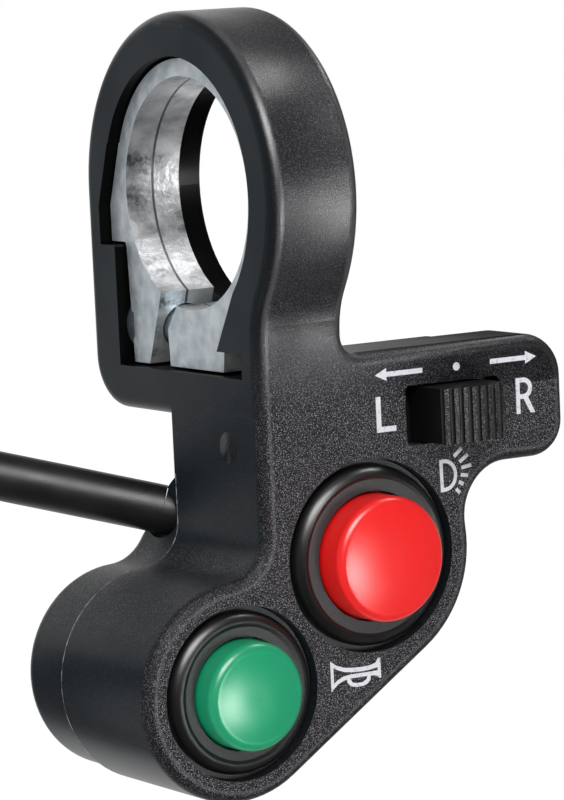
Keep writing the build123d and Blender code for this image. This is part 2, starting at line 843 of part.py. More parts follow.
def cable_grommet():
    """PVC sleeve in the cover's hole, flush outside, with a flange against the inside of the wall."""
    outside_x = near_x + cover_left_inset + grommet_recess
    inside_x = near_x + cover_left_inset + cover_wall
    flange_x = inside_x + grommet_flange_length
    middle = cable_at((inside_x + flange_x) / 2)
    flange = cross_plate(Pos(middle.Y, middle.Z) * Circle(grommet_flange_radius), inside_x, flange_x)
    flange &= plate(cover_outline(cover_wall), face_y, cover_back_y)
    flange -= outlet_corner(cover_wall)
    sleeve = cable_cylinder(cable_diameter / 2 + grommet_wall, cable_reach - ring_width, 2 * ring_width)
    sleeve &= Pos((outside_x + flange_x) / 2, *cable_anchor[1:]) * Box(flange_x - outside_x, ring_width, ring_width)
    sleeve -= outlet_corner(grommet_recess)
    bore = cable_cylinder(cable_diameter / 2 + grommet_fit, cable_reach - ring_width, 2 * ring_width)
    return sleeve + flange - bore


def cable_stub():
    return cable_cylinder(cable_diameter / 2, cable_reach - stub_length, stub_length)


def strain_band():
    """Nylon band round the cable inside the cover."""
    radius = cable_diameter / 2 + grommet_fit
    band = cable_cylinder(radius + band_wall, band_start, band_width)
    return band - cable_cylinder(radius, band_start - overrun, band_width + 2 * overrun)


def free_cable_points():
    anchor = Vector(*cable_anchor)
    start = anchor + cable_heading * cable_reach
    return [tuple(start), tuple(start + cable_heading * cable_first_run), cable_turn, coil_start]


def coil_path():
    """Half turns that spiral inwards from the top in a plane square to Y, and a last quarter turn."""
    x, y, z = coil_start
    arcs = []
    for turn in range(coil_half_turns):
        radius = coil_outer_radius - turn * coil_pitch / 2
        down = 1 if turn % 2 == 0 else -1
        arcs.append(ThreePointArc((x, y, z), (x - down * radius, y, z - down * radius), (x, y, z - down * 2 * radius)))
        z -= down * 2 * radius
    curve_share = math.cos(math.pi / 4)
    middle = (x - coil_end_radius * curve_share, y, z - coil_end_radius * (1 - curve_share))
    end = (x - coil_end_radius, y, z - coil_end_radius)
    arcs.append(ThreePointArc((x, y, z), middle, end))
    return arcs, z, end


def cable_coil():
    arcs, _, _ = coil_path()
    section = Plane(origin=coil_start, z_dir=(-1, 0, 0)) * Circle(cable_diameter / 2)
    return sweep(section, path=Wire(arcs)), Wire(arcs)


def tail_points():
    _, _, end = coil_path()
    return [end] + [tuple(Vector(*end) + Vector(*step)) for step in tail_steps]


def cable_tie():
    """Nylon tie round the three runs at the top of the coil."""
    x, y, z = coil_start
    _, inner_z, _ = coil_path()
    radius = cable_diameter / 2 + tie_fit
    height = z - inner_z + 2 * radius
    inner = Pos(y, (z + inner_z) / 2) * RectangleRounded(2 * radius, height, radius - tie_fit)
    outer = Pos(y, (z + inner_z) / 2) * RectangleRounded(2 * (radius + tie_wall), height + 2 * tie_wall, radius)
    head = area(y - tie_head / 2, y + tie_head / 2, z + radius, z + radius + tie_head - tie_wall)
    return cross_plate(outer + head - inner, x - tie_width / 2, x + tie_width / 2)


def plug_plane():
    """Plane at the cable's end, with Z on towards the plug's mouth."""
    points = tail_points()
    return Plane(origin=points[-1], x_dir=(1, 0, 0), z_dir=Vector(*points[-1]) - Vector(*points[-2]))


def plug_cells():
    across = [(column - (plug_ways - 1) / 2) * plug_pitch for column in range(plug_ways)]
    rows = [(row - (plug_rows - 1) / 2) * plug_row_pitch for row in range(plug_rows)]
    return [(x, y) for x in across for y in rows]


def connector_housing():
    """Nylon plug body with one cell for each terminal and a latch arm."""
    body = Pos(0, 0, plug_length / 2) * Box(plug_width, plug_thickness, plug_length)
    body = fillet(body.edges().filter_by(Axis.Z), plug_round)
    for x, y in plug_cells():
        body -= Pos(x, y, plug_length - plug_cell_depth / 2 + overrun / 2) * Box(
            plug_cell, plug_cell, plug_cell_depth + overrun
        )
    arm = Pos(0, plug_thickness / 2 + latch_arm_thickness / 2, plug_length - latch_arm_length / 2)
    body += arm * Box(latch_arm_width, latch_arm_thickness, latch_arm_length)
    return plug_plane() * body


def connector_terminals():
    pins = []
    floor = plug_length - plug_cell_depth
    for x, y in plug_cells():
        pin = Pos(x, y, floor + pin_length / 2) * Box(pin_width, pin_width, pin_length)
        pins.append(plug_plane() * pin)
    return Compound(children=pins)


def lead_points():
    """From each terminal's tip over its way points to the cable's inner end."""
    plane = cable_plane(cable_reach - stub_length)
    button_tip = base_front_y() + base_thickness + blade_length
    slide_tip = slide_base_y + slide_base_thickness + blade_length
    starts = [
        (lamp_x - rivet_spread, button_tip, lamp_z),
        (lamp_x + rivet_spread, button_tip, lamp_z),
        (horn_x + rivet_spread, button_tip, horn_z),
        (horn_x - rivet_spread, button_tip, horn_z),
        (slot_x - contact_pitch, slide_tip, slot_z + strip_offset),
    ]
    routes = []
    for index, (start, way) in enumerate(zip(starts, lead_ways)):
        angle = math.tau * lead_slots[index] / len(starts)
        end = plane.from_local_coords((lead_ring * math.cos(angle), lead_ring * math.sin(angle), 0))
        routes.append([start] + way + [tuple(end - cable_heading * lead_end_run), tuple(end)])
    return routes


def inner_leads():
    return Compound(children=[tube(points, lead_diameter, lead_bend)[0] for points in lead_points()])


def least_gap(path, diameter):
    """Smallest distance between far-apart stretches of a path, less the tube's diameter."""
    samples = 600
    spots = [path @ (index / samples) for index in range(samples + 1)]
    step = path.length / samples
    apart = int(math.pi * diameter * 2 / step)
    gaps = [
        (spots[first] - spots[second]).length
        for first in range(samples + 1)
        for second in range(first + apart, samples + 1)
    ]
    return min(gaps) - diameter


def write(name, shape):
    export_step(shape, f"parts/{name}.step")


os.makedirs("parts", exist_ok=True)

write("front_housing", front_housing())
write("rear_cover", rear_cover())
write("cover_screws", cover_screws())
write("clamp_ring", clamp_ring())
write("clamp_screw", clamp_screw())

for name, x, z, hole_radius, cap_radius, proud, rim_radius, rim_proud in (
    ("lamp", lamp_x, lamp_z, lamp_hole_radius, lamp_cap_radius, lamp_cap_proud, lamp_rim_radius, lamp_rim_proud),
    ("horn", horn_x, horn_z, horn_hole_radius, horn_cap_radius, horn_cap_proud, horn_rim_radius, horn_rim_proud),
):
    write(f"{name}_bezel", button_bezel(x, z, hole_radius, cap_radius, rim_radius, rim_proud))
    write(f"{name}_button", button_cap(x, z, cap_radius, proud))
    write(f"{name}_spring", button_spring(x, z))
    write(f"{name}_contact_disc", contact_disc(x, z))
    write(f"{name}_switch_base", button_base(x, z, cap_radius))
    write(f"{name}_terminals", button_terminals(x, z))

write("lamp_latch_pin", lamp_latch_pin())
write("turn_slider", turn_slider())
write("turn_carriage", turn_carriage())
write("turn_contacts", turn_contacts())
write("turn_detent_ball", detent_ball())
write("turn_detent_spring", detent_spring())
write("turn_switch_base", turn_switch_base())
write("turn_terminals", turn_terminals())
write("turn_switch_frame", turn_switch_frame())

write("cable_grommet", cable_grommet())
write("strain_band", strain_band())
write("cable_stub", cable_stub())
write("inner_leads", inner_leads())

cable, cable_line, cable_radii = tube(free_cable_points(), cable_diameter)
coil, coil_line = cable_coil()
tail, tail_line, tail_radii = tube(tail_points(), cable_diameter)
write("cable", cable)
write("cable_coil", coil)
write("cable_tail", tail)
write("cable_tie", cable_tie())
write("connector_housing", connector_housing())
write("connector_terminals", connector_terminals())

section_area = math.pi * (cable_diameter / 2) ** 2
for label, solid, line in (("cable", cable, cable_line), ("coil", coil, coil_line), ("tail", tail, tail_line)):
    print(label, "length", round(line.length, 1), "volume share", round(solid.volume / (section_area * line.length), 4))
print("cable radii", [round(radius, 1) for radius in cable_radii])
print("tail radii", [round(radius, 1) for radius in tail_radii])
print("coil least gap to itself", round(least_gap(coil_line, cable_diameter), 2))
print("free cable in all", round(cable_line.length + coil_line.length + tail_line.length, 1))
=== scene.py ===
import bmesh
import bpy
import math
from mathutils import Matrix, Vector


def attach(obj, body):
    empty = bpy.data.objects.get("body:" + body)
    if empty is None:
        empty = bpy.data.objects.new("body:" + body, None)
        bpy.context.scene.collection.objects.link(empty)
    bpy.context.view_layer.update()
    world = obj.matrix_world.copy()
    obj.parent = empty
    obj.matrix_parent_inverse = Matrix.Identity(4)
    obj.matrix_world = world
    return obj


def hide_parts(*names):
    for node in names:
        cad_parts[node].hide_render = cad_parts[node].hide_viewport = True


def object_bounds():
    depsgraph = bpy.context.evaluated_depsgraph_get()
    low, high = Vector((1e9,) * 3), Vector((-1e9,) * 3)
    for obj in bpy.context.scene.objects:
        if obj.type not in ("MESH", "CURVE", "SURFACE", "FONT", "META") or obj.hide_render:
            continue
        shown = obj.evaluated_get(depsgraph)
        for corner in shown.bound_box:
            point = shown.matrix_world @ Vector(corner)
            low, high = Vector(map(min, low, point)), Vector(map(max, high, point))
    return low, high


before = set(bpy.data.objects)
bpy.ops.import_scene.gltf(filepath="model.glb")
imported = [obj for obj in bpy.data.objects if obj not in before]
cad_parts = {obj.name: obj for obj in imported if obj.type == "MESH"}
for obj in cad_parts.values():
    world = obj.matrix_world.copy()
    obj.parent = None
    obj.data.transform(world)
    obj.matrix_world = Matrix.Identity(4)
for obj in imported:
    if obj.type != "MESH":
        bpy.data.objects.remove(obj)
cad_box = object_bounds()

# Camera at the photograph's viewing angle: from the left and a little above the buttons, with the
# long lens of a product photograph.
mm = 0.001
azimuth = math.radians(-32.234)
elevation = math.radians(6.553)
roll = math.radians(-2.674)
aim = Vector((6.739, 0, -20.727)) * mm
camera_distance = 399.66 * mm
nearest_seen = 10 * mm
lens = 185.82
sensor_width = 36

flat = math.cos(elevation)
away = Vector((math.sin(azimuth) * flat, -math.cos(azimuth) * flat, math.sin(elevation)))
level = Vector((math.cos(azimuth), math.sin(azimuth), 0))
upright = Matrix((level, away.cross(level), away)).transposed()
rolled = Matrix.Rotation(roll, 3, away) @ upright
camera = bpy.data.objects.new("camera", bpy.data.cameras.new("camera"))
camera.data.lens = lens
camera.data.sensor_width = sensor_width
camera.data.clip_start = nearest_seen
camera.matrix_world = Matrix.Translation(aim + away * camera_distance) @ rolled.to_4x4()
bpy.context.scene.collection.objects.link(camera)
bpy.context.scene.camera = camera
bpy.context.scene.view_settings.view_transform = "Standard"


# Free cable: a round black PVC cable of 4.8 mm that leaves the rear cover to the left and back.
# The length that the photograph doesn't show is wound into a flat coil behind, held by a nylon tie,
# and its end hangs down into the plug. Its stub in the cover and the grommet have the same skin.
class Finish:
    """A material under way: its shader, its coordinates and the nodes that feed them."""

    def __init__(self, name):
        self.material = bpy.data.materials.new(name)
        self.material.use_nodes = True
        self.nodes = self.material.node_tree.nodes
        self.shader = self.nodes["Principled BSDF"]
        self.coordinates = self.nodes.new("ShaderNodeTexCoord").outputs

    def feed(self, value, socket):
        """Set a socket to a value, or link it to another node's output."""
        if isinstance(value, bpy.types.NodeSocket):
            self.material.node_tree.links.new(value, socket)
        else:
            socket.default_value = value

    def shine(self, **values):
        """Set the shader's sockets by name, with _ for a space."""
        for name, value in values.items():
            self.feed(value, self.shader.inputs[name.replace("_", " ")])

    def parts(self, kind):
        """X, Y and Z of the place on the piece (Object) or of where its surface faces (Normal)."""
        made = self.nodes.new("ShaderNodeSeparateXYZ")
        self.feed(self.coordinates[kind], made.inputs["Vector"])
        return made.outputs

    def noise(self, size, detail, stretch=(1, 1, 1)):
        """A noise whose patches measure about this size."""
        turn = self.nodes.new("ShaderNodeMapping")
        turn.inputs["Scale"].default_value = stretch
        self.feed(self.coordinates["Object"], turn.inputs["Vector"])
        made = self.nodes.new("ShaderNodeTexNoise")
        made.inputs["Scale"].default_value = 1 / size
        made.inputs["Detail"].default_value = detail
        self.feed(turn.outputs["Vector"], made.inputs["Vector"])
        return made.outputs["Fac"]

    def distance(self, spot, along=(1, 1, 1)):
        """Distance from a spot in millimetres, counted along some axes or all."""
        scaled = self.nodes.new("ShaderNodeVectorMath")
        scaled.operation = "MULTIPLY"
        self.feed(self.coordinates["Object"], scaled.inputs[0])
        scaled.inputs[1].default_value = Vector(along) / mm
        made = self.nodes.new("ShaderNodeVectorMath")
        made.operation = "DISTANCE"
        self.feed(scaled.outputs["Vector"], made.inputs[0])
        made.inputs[1].default_value = [value * count for value, count in zip(spot, along)]
        return made.outputs["Value"]

    def sums(self, kind, first, second=0.5, third=0.5):
        """One arithmetic step."""
        made = self.nodes.new("ShaderNodeMath")
        made.operation = kind
        for value, socket in zip((first, second, third), made.inputs):
            self.feed(value, socket)
        return made.outputs["Value"]

    def times(self, first, second):
        """One value times another."""
        return self.sums("MULTIPLY", first, second)

    def colour(self, value):
        """A grey or a colour with its alpha, and a node's output as it is."""
        if isinstance(value, bpy.types.NodeSocket):
            return value
        return (*value, 1) if isinstance(value, tuple) else (value, value, value, 1)

    def steps(self, value, *stops):
        """A colour ramp through stops of position and grey or colour."""
        ramp = self.nodes.new("ShaderNodeValToRGB")
        while len(ramp.color_ramp.elements) < len(stops):
            ramp.color_ramp.elements.new(0.5)
        for element, (position, colour) in zip(ramp.color_ramp.elements, stops):
            element.position = position
            element.color = self.colour(colour)
        self.feed(value, ramp.inputs["Fac"])
        return ramp.outputs["Color"]

    def mix(self, share, first, second):
        """Two greys or colours mixed by the second one's share."""
        made = self.nodes.new("ShaderNodeMix")
        made.data_type = "RGBA"
        self.feed(share, made.inputs["Factor"])
        self.feed(self.colour(first), made.inputs["A"])
        self.feed(self.colour(second), made.inputs["B"])
        return made.outputs["Result"]

    def relief(self, height, depth, under=None):
        """Bumps of this depth, in metres, on top of the ones under them."""
        made = self.nodes.new("ShaderNodeBump")
        made.inputs["Distance"].default_value = depth
        made.inputs["Strength"].default_value = 1.0
        self.feed(height, made.inputs["Height"])
        if under is not None:
            self.feed(under, made.inputs["Normal"])
        return made.outputs["Normal"]


def dress(finish, *names):
    """Give CAD nodes this finish on all of their slots."""
    for name in names:
        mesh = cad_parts[name].data
        if not mesh.materials:
            mesh.materials.append(finish.material)
        for index in range(len(mesh.materials)):
            mesh.materials[index] = finish.material


cable_diameter = 4.8
cable_route = [(-3.277, 6.66, -30.883), (-16.15, 15.03, -27.0), (-22.59, 19.21, -25.1)]
cable_route += [(-32, 22, -29), (-47, 22, -29)]
coil_outer_radius = 28.6
coil_pitch = 5.3
coil_half_turns = 4
coil_points_per_half_turn = 12
coil_end_radius = 14.4
cable_tail = [(-61.4, 22, -66), (-61.4, 30.5, -76), (-61.4, 30.5, -88)]

route = list(cable_route)
coil_x, coil_y, top = cable_route[-1]
side = 1
for turn in range(coil_half_turns):
    radius = coil_outer_radius - turn * coil_pitch / 2
    for step in range(1, coil_points_per_half_turn + 1):
        angle = math.pi * step / coil_points_per_half_turn
        x = coil_x - side * radius * math.sin(angle)
        route.append((x, coil_y, top - side * radius * (1 - math.cos(angle))))
    top -= side * 2 * radius
    side = -side
for step in range(1, coil_points_per_half_turn // 2 + 1):
    angle = math.pi * step / coil_points_per_half_turn
    x = coil_x - coil_end_radius * math.sin(angle)
    route.append((x, coil_y, top - coil_end_radius * (1 - math.cos(angle))))
route += cable_tail

cable_curve = bpy.data.curves.new("free_cable", "CURVE")
cable_curve.dimensions = "3D"
spline = cable_curve.splines.new("NURBS")
spline.points.add(len(route) - 1)
for point, (x, y, z) in zip(spline.points, route):
    point.co = (x * mm, y * mm, z * mm, 1)
spline.order_u = 3
spline.use_endpoint_u = True
spline.resolution_u = 8
cable_curve.bevel_depth = cable_diameter / 2 * mm
cable_curve.bevel_resolution = 8
cable_curve.use_fill_caps = True
free_cable = bpy.data.objects.new("free_cable", cable_curve)
bpy.context.scene.collection.objects.link(free_cable)

cable_pvc = Finish("cable_pvc")
cable_wear = cable_pvc.noise(6 * mm, detail=3)
cable_skin = cable_pvc.noise(0.25 * mm, detail=3)
worn_form = cable_pvc.relief(cable_wear, depth=0.05 * mm)
cable_pvc.shine(
    Base_Color=cable_pvc.steps(cable_wear, (0.3, (0.007, 0.007, 0.008)), (0.75, (0.013, 0.012, 0.014))),
    Specular_IOR_Level=0.4,
    Roughness=cable_pvc.steps(cable_wear, (0.35, 0.34), (0.7, 0.46)),
    Normal=cable_pvc.relief(cable_skin, depth=0.012 * mm, under=worn_form),
)
cable_curve.materials.append(cable_pvc.material)
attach(free_cable, "switch_housing")
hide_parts("cable", "cable_coil", "cable_tail")
dress(cable_pvc, "cable_stub", "cable_grommet")

# Cable tie and plug: a black nylon tie round the coil's top runs, the strain band's nylon too, and a
# milky nylon plug body with a latch arm, whose cells hold crimped brass terminals. The contacts and
# terminals of the three switches are punched from the same brass.
tie_nylon = Finish("tie_nylon")
tie_grain = tie_nylon.noise(0.5 * mm, detail=3)
tie_nylon.shine(
    Base_Color=tie_nylon.steps(tie_grain, (0.35, 0.012), (0.7, 0.022)),
    Roughness=tie_nylon.steps(tie_grain, (0.3, 0.34), (0.7, 0.48)),
    Normal=tie_nylon.relief(tie_grain, depth=0.02 * mm),
)
dress(tie_nylon, "cable_tie", "strain_band")

plug_nylon = Finish("plug_nylon")
plug_cloud = plug_nylon.noise(3 * mm, detail=3)
plug_grain = plug_nylon.noise(0.3 * mm, detail=2)
plug_nylon.shine(
    Base_Color=plug_nylon.steps(plug_cloud, (0.3, (0.72, 0.70, 0.63)), (0.75, (0.82, 0.80, 0.73))),
    Roughness=plug_nylon.steps(plug_grain, (0.3, 0.38), (0.7, 0.5)),
    Subsurface_Weight=0.25,
    Subsurface_Scale=1.2 * mm,
    Normal=plug_nylon.relief(plug_grain, depth=0.01 * mm),
)
dress(plug_nylon, "connector_housing")

brass = Finish("contact_brass")
brass_tarnish = brass.noise(0.7 * mm, detail=4)
brass.shine(
    Base_Color=brass.steps(brass_tarnish, (0.35, (0.62, 0.43, 0.16)), (0.7, (0.82, 0.62, 0.28))),
    Metallic=1.0,
    Roughness=brass.steps(brass_tarnish, (0.3, 0.36), (0.7, 0.24)),
)
contact_nodes = ["connector_terminals", "turn_contacts", "turn_terminals"]
for button in ("lamp", "horn"):
    contact_nodes += [f"{button}_contact_disc", f"{button}_terminals"]
dress(brass, *contact_nodes)

# Clamp ring: a zinc die casting that grips the bar, left as cast. Its flat sides are clouded grey, its
# rounds have dark patches and bright specks, and a parting seam runs round at mid-width. A zinc-plated
# cap screw draws it together.
dark_zinc = (0.10, 0.105, 0.11)
grey_zinc = (0.48, 0.49, 0.50)
bright_zinc = (0.78, 0.79, 0.80)
speck_zinc = (0.80, 0.83, 0.85)
seam_zinc = (0.12, 0.13, 0.14)

clamp_diecast = Finish("clamp_diecast")
cast_cloud = clamp_diecast.noise(1.7 * mm, detail=4)
cast_specks = clamp_diecast.noise(0.45 * mm, detail=3)
cast_grain = clamp_diecast.noise(0.16 * mm, detail=3)
cast_patches = clamp_diecast.noise(3.5 * mm, detail=4, stretch=(0.5, 1, 1))
patched_zinc = clamp_diecast.steps(cast_patches, (0.37, dark_zinc), (0.48, grey_zinc), (0.60, bright_zinc))
speck_share = clamp_diecast.steps(cast_specks, (0.44, 0.0), (0.66, 0.35))
round_zinc = clamp_diecast.mix(speck_share, patched_zinc, speck_zinc)
flat_zinc = clamp_diecast.steps(cast_cloud, (0.35, (0.50, 0.57, 0.61)), (0.65, (0.74, 0.79, 0.83)))
clamp_sideways = clamp_diecast.sums("ABSOLUTE", clamp_diecast.parts("Normal")["X"])
flat_share = clamp_diecast.steps(clamp_sideways, (0.6, 0.0), (0.9, 1.0))
cast_zinc = clamp_diecast.mix(flat_share, round_zinc, flat_zinc)
from_mid_width = clamp_diecast.sums("ABSOLUTE", clamp_diecast.parts("Object")["X"])
cast_seam = clamp_diecast.steps(
    clamp_diecast.times(from_mid_width, 1 / mm), (0.0, 1.0), (0.1, 1.0), (0.17, 0.0)
)
cast_form = clamp_diecast.relief(cast_cloud, depth=0.16 * mm)
clamp_diecast.shine(
    Base_Color=clamp_diecast.mix(cast_seam, cast_zinc, seam_zinc),
    Metallic=0.72,
    Roughness=clamp_diecast.steps(cast_grain, (0.3, 0.30), (0.7, 0.52)),
    Normal=clamp_diecast.relief(cast_grain, depth=0.03 * mm, under=cast_form),
)
dress(clamp_diecast, "clamp_ring")

screw_zinc = Finish("screw_zinc")
zinc_cloud = screw_zinc.noise(0.9 * mm, detail=4)
screw_zinc.shine(
    Base_Color=screw_zinc.steps(zinc_cloud, (0.35, (0.36, 0.47, 0.53)), (0.7, (0.55, 0.63, 0.66))),
    Metallic=0.9,
    Roughness=screw_zinc.steps(zinc_cloud, (0.3, 0.4), (0.7, 0.26)),
    Normal=screw_zinc.relief(zinc_cloud, depth=0.03 * mm),
)
dress(screw_zinc, "clamp_screw")

# Front housing: one black ABS moulding with the bar ring, neck, wing and both bosses, and the rear
# cover in the same finish. Face, edge rounds and the ring's outside are spark-eroded to a fine
# grain, whose sparkle is partly painted glints, and the walls that the mould draws along are smoother.
housing_abs = Finish("housing_abs")
place = housing_abs.parts("Object")
facing = housing_abs.parts("Normal")
forward = housing_abs.times(facing["Y"], -1)
sideways = housing_abs.sums("ABSOLUTE", facing["X"])

# The ring's finish goes over into the face's between these heights.
face_top_z = -20
ring_foot_z = -12
ring_zone = housing_abs.nodes.new("ShaderNodeMapRange")
housing_abs.feed(place["Z"], ring_zone.inputs["Value"])
ring_zone.inputs["From Min"].default_value = face_top_z * mm
ring_zone.inputs["From Max"].default_value = ring_foot_z * mm
on_ring = ring_zone.outputs["Result"]
off_ring = housing_abs.sums("SUBTRACT", 1.0, on_ring)

# The ring's inside and the clamp's pocket are smooth, and painted dark as shade, apart from what faces
# sideways.
ring_inside_radius = 16.2
pocket_y = 0.75
pocket_half_depth = 13.2
pocket_z = -9.5
pocket_half_height = 7.6
sideways_limit = 0.7
from_bar_axis = housing_abs.distance((0, 0, 0), along=(0, 1, 1))
in_ring = housing_abs.sums("LESS_THAN", from_bar_axis, ring_inside_radius)
in_depth = housing_abs.sums("COMPARE", place["Y"], pocket_y * mm, pocket_half_depth * mm)
in_height = housing_abs.sums("COMPARE", place["Z"], pocket_z * mm, pocket_half_height * mm)
in_room = housing_abs.sums("MAXIMUM", in_ring, housing_abs.times(in_depth, in_height))
inside = housing_abs.times(in_room, housing_abs.sums("LESS_THAN", sideways, sideways_limit))
outside = housing_abs.sums("SUBTRACT", 1.0, inside)

# Grain lies on what faces forward, on the ring's outside, and half as strong on what faces up.
top_grain = 0.5
face_share = housing_abs.steps(forward, (0.1, 0.1), (0.5, 1.0))
ring_share = housing_abs.steps(sideways, (0.55, 1.0), (0.92, 0.0))
zone_share = housing_abs.mix(on_ring, face_share, ring_share)
top_share = housing_abs.steps(facing["Z"], (0.3, 0.0), (0.8, 1.0))
spread_share = housing_abs.sums("MAXIMUM", zone_share, housing_abs.times(top_share, top_grain))
grained = housing_abs.times(spread_share, outside)
# The grain's tones run from dark pits to pale specks, and the pale specks are painted glints.
grain_pit = (0.001, 0.001, 0.002)
fine_grain = housing_abs.noise(0.11 * mm, detail=1)
face_grain_and_glints = housing_abs.steps(
    fine_grain, (0.44, grain_pit), (0.55, (0.009, 0.008, 0.012)), (0.69, (0.30, 0.29, 0.32))
)
finer_grain = housing_abs.noise(0.085 * mm, detail=1)
ring_grain_and_glints = housing_abs.steps(
    finer_grain, (0.4, grain_pit), (0.54, (0.006, 0.006, 0.008)), (0.68, (0.13, 0.125, 0.14))
)
grains_and_glints = housing_abs.mix(on_ring, face_grain_and_glints, ring_grain_and_glints)

# Painted light and shade: the walls are painted lighter below, where more light falls, and darker at
# the neck, which the ring shades. The ramp counts decimetres below the bar's axis.
shaded_neck_black = (0.0045, 0.0100, 0.0140)
lit_box_black = (0.0095, 0.0155, 0.0195)
inside_shade_black = 0.002
decimetre = 100 * mm
lit_low_share = housing_abs.steps(housing_abs.times(place["Z"], -1 / decimetre), (0.27, 0.0), (0.36, 1.0))
lit_and_shaded_black = housing_abs.mix(lit_low_share, shaded_neck_black, lit_box_black)
# Painted shade: the ring's inside and the clamp's pocket are painted nearly black.
wall_black = housing_abs.mix(inside, lit_and_shaded_black, inside_shade_black)
grain_and_glint_black = housing_abs.mix(grained, wall_black, grains_and_glints)

# Painted shade and highlight: edge rounds are painted darker than the faces beside them, as shade,
# with a thin painted highlight line along them.
edge_shade_black = (0.004, 0.004, 0.005)
edge_shade_strength = 0.6
highlight_line_grey = (0.10, 0.10, 0.105)
highlight_line_strength = 0.55
face_edge_shade = housing_abs.steps(forward, (0.2, 0.0), (0.35, 1.0), (0.86, 1.0), (0.93, 0.0))
ring_edge_shade = housing_abs.steps(sideways, (0.4, 0.0), (0.6, 1.0), (0.86, 1.0), (0.94, 0.0))
edge_shade_share = housing_abs.times(housing_abs.mix(on_ring, face_edge_shade, ring_edge_shade), edge_shade_strength)
edge_shaded_black = housing_abs.mix(edge_shade_share, grain_and_glint_black, edge_shade_black)
face_highlight_line = housing_abs.steps(forward, (0.93, 0.0), (0.965, 1.0), (0.99, 1.0), (0.997, 0.0))
ring_highlight_line = housing_abs.steps(sideways, (0.08, 0.0), (0.2, 1.0), (0.42, 1.0), (0.6, 0.0))
highlight_line_share = housing_abs.times(housing_abs.mix(on_ring, face_highlight_line, ring_highlight_line), highlight_line_strength)
highlight_lined_black = housing_abs.mix(highlight_line_share, edge_shaded_black, highlight_line_grey)

# The lips of the seam between housing and cover are pale in a thin line, broken by nicks.
pale_seam_grey = (0.38, 0.38, 0.39)
seam_y = 2.6
seam_top_z = -26.9
beside_seam = housing_abs.sums("ABSOLUTE", housing_abs.sums("SUBTRACT", place["Y"], seam_y * mm))
seam_lips = housing_abs.steps(
    housing_abs.times(beside_seam, 1 / mm), (0.07, 0.0), (0.12, 1.0), (0.22, 1.0), (0.27, 0.0)
)
below_top = housing_abs.sums("LESS_THAN", place["Z"], seam_top_z * mm)
nicks = housing_abs.steps(housing_abs.noise(0.9 * mm, detail=3), (0.40, 0.12), (0.58, 1.0))
seam_share = housing_abs.times(housing_abs.times(seam_lips, below_top), nicks)

# The ring is wavy and flares towards its far side, and a low pip stands on the neck's side.
flare_start_x = -1.0
flare_rise = 0.017
pip_spot = (-4.2, -7.5, -23.6)
pip_reach = 2.0
ring_waves = housing_abs.times(housing_abs.noise(11 * mm, detail=0.5), on_ring)
waved = housing_abs.relief(ring_waves, depth=0.7 * mm)
ring_x = housing_abs.times(place["X"], 1 / mm)
flaring = housing_abs.sums("MAXIMUM", housing_abs.sums("SUBTRACT", ring_x, flare_start_x), 0.0)
ring_flare = housing_abs.times(housing_abs.times(flaring, flaring), on_ring)
flared = housing_abs.relief(ring_flare, depth=flare_rise * mm, under=waved)
softened = housing_abs.relief(housing_abs.noise(6 * mm, detail=1), depth=0.07 * mm, under=flared)
from_pip = housing_abs.times(housing_abs.distance(pip_spot), 1 / pip_reach)
pip = housing_abs.steps(from_pip, (0.0, 1.0), (0.3, 0.85), (0.75, 0.0))
moulded_form = housing_abs.relief(pip, depth=0.5 * mm, under=softened)
grain_height = housing_abs.times(fine_grain, grained)

# The grained face is matt and all the rest satin. The ring and what faces up are the glossiest, and
# the inside has hardly any gloss.
inside_shine = 0.08
wall_shine = housing_abs.mix(top_share, 0.20, 0.7)
grain_shine = housing_abs.mix(on_ring, 0.24, 0.62)
outer_shine = housing_abs.mix(grained, wall_shine, grain_shine)
matt_share = housing_abs.times(grained, off_ring)
housing_abs.shine(
    Base_Color=housing_abs.mix(seam_share, highlight_lined_black, pale_seam_grey),
    Roughness=housing_abs.steps(matt_share, (0.0, 0.31), (1.0, 0.56)),
    Specular_IOR_Level=housing_abs.mix(inside, outer_shine, inside_shine),
    Normal=housing_abs.relief(grain_height, depth=0.024 * mm, under=moulded_form),
)
dress(housing_abs, "front_housing", "rear_cover")


# Printed marks: white pad printing on the face, arrows and letters for the turn slider,
# a lamp and a horn for the buttons. The ink is a thin layer, cloudy and slightly uneven.
face_y = -13.4
ink_thickness = 0.02
weld_distance = 0.001


def print_shapes(name, outlines):
    """A flat print of filled outlines, each a list of X and Z on the housing's face."""
    curve = bpy.data.curves.new(name, "CURVE")
    curve.dimensions = "2D"
    curve.fill_mode = "BOTH"
    for outline in outlines:
        loop = curve.splines.new("POLY")
        loop.points.add(len(outline) - 1)
        loop.use_cyclic_u = True
        for point, (x, z) in zip(loop.points, outline):
            point.co = (x * mm, z * mm, 0, 1)
    print_on_face(name, curve)


def print_strokes(name, strokes, width):
    """A flat print of strokes, each a list of X and Z on the housing's face."""
    curve = bpy.data.curves.new(name, "CURVE")
    curve.dimensions = "3D"
    curve.twist_mode = "Z_UP"
    curve.extrude = width / 2 * mm
    for stroke in strokes:
        line = curve.splines.new("POLY")
        line.points.add(len(stroke) - 1)
        for point, (x, z) in zip(line.points, stroke):
            point.co = (x * mm, z * mm, 0, 1)
            point.tilt = math.pi / 2
    print_on_face(name, curve)


